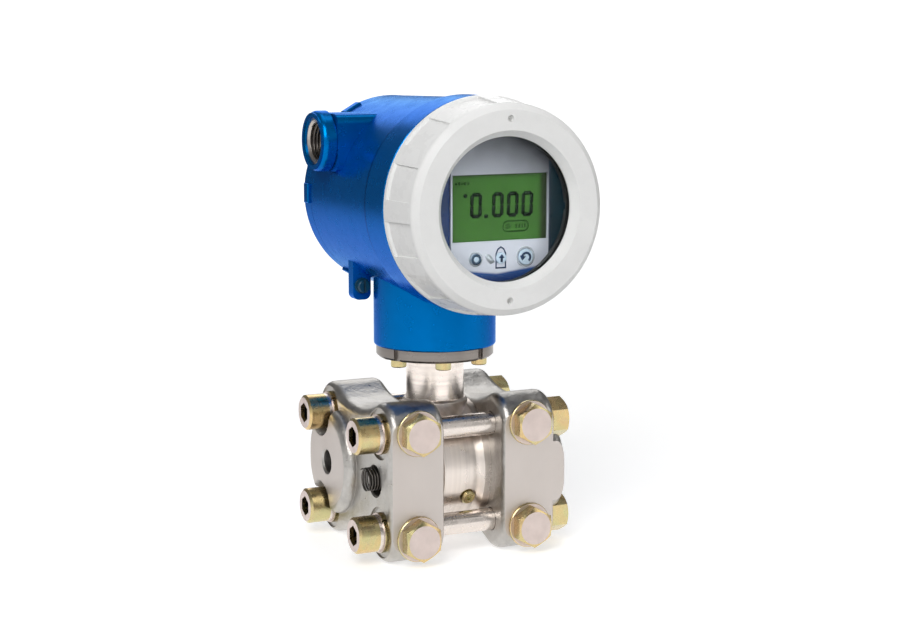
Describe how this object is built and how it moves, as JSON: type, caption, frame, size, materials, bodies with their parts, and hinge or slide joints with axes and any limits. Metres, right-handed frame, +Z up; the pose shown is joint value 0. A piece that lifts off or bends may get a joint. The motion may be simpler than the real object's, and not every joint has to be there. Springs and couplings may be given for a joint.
{
  "type": "differential pressure transmitter",
  "caption": "Differential pressure transmitter: two clamped process flanges, a round neck and a field housing with a glass-fronted display cover and a blind rear cover.",
  "frame": {"origin": "point where the neck axis meets the plane that the flange lobes stand on", "axes": "+Z up along the neck, -Y the way the display looks, -X towards the high side flange and the bolt heads"},
  "size_m": [0.1068, 0.1218, 0.2021],
  "materials": {
    "blue_paint": "gloss",
    "white_paint": "gloss",
    "steel": "satin",
    "turned_steel": "machined",
    "zinc": "yellow zinc plate",
    "glass": "clear",
    "rubber": "matt",
    "gasket": "matt",
    "plate": "printed",
    "lcd": "backlit",
    "shell": "matt",
    "button": "gloss",
    "potting": "matt",
    "terminal": "matt"
  },
  "bodies": {
    "sensor": {"sensor_body": "turned_steel", "fill_plug": "zinc", "flange_low": "steel", "flange_high": "steel", "flange_gaskets": "gasket", "isolating_diaphragms": "turned_steel", "clamp_bolts": "zinc", "spring_washers": "zinc", "nut_washers": "zinc", "clamp_nuts": "zinc", "edge_bolts": "zinc", "edge_washers": "zinc", "neck_tube": "turned_steel"},
    "housing": {"housing": "blue_paint", "neck_ring": "turned_steel", "neck_ring_screws": "zinc", "conduit_bushes": "turned_steel", "conduit_plug": "turned_steel", "ground_screw": "turned_steel", "ground_washer": "turned_steel", "display_plate": "plate", "lcd_panel": "lcd", "display_shell": "shell", "electronics_module": "potting", "terminal_block": "terminal", "terminal_screws": "zinc"},
    "front_seal": {"front_cover_seal": "rubber"},
    "front_cover": {"front_cover": "white_paint", "window_glass": "glass", "glass_retainer": "turned_steel"},
    "rear_seal": {"rear_cover_seal": "rubber"},
    "rear_cover": {"rear_cover": "blue_paint"},
    "button_left": {"button_left": "button"},
    "button_middle": {"button_middle": "button"},
    "button_right": {"button_right": "button"}
  },
  "joints": [
    {"name": "housing_swivel", "type": "hinge", "parent": "sensor", "child": "housing", "pos_m": [0, 0, 0.0897], "axis": [0, 0, 1], "range_deg": [-180, 180]},
    {"name": "front_cover_travel", "type": "slide", "parent": "housing", "child": "front_seal", "axis": [0, -1, 0], "range_m": [0, 0.013]},
    {"name": "front_cover_turn", "type": "hinge", "parent": "front_seal", "child": "front_cover", "pos_m": [0, 0, 0.1556], "axis": [0, -1, 0], "range_deg": [0, 2340]},
    {"name": "rear_cover_travel", "type": "slide", "parent": "housing", "child": "rear_seal", "axis": [0, 1, 0], "range_m": [0, 0.006]},
    {"name": "rear_cover_turn", "type": "hinge", "parent": "rear_seal", "child": "rear_cover", "pos_m": [0, 0, 0.1556], "axis": [0, 1, 0], "range_deg": [0, 1440]},
    {"name": "button_left_press", "type": "slide", "parent": "housing", "child": "button_left", "axis": [0, 1, 0], "range_m": [0, 0.0006], "stiffness_N_per_m": 1200, "springref_m": -0.0005},
    {"name": "button_middle_press", "type": "slide", "parent": "housing", "child": "button_middle", "axis": [0, 1, 0], "range_m": [0, 0.0006], "stiffness_N_per_m": 1200, "springref_m": -0.0005},
    {"name": "button_right_press", "type": "slide", "parent": "housing", "child": "button_right", "axis": [0, 1, 0], "range_m": [0, 0.0006], "stiffness_N_per_m": 1200, "springref_m": -0.0005}
  ],
  "couplings": [
    {"joint": "front_cover_travel", "follows": "front_cover_turn", "m_per_rad": 0.00031831},
    {"joint": "rear_cover_travel", "follows": "rear_cover_turn", "m_per_rad": 0.00023873}
  ]
}
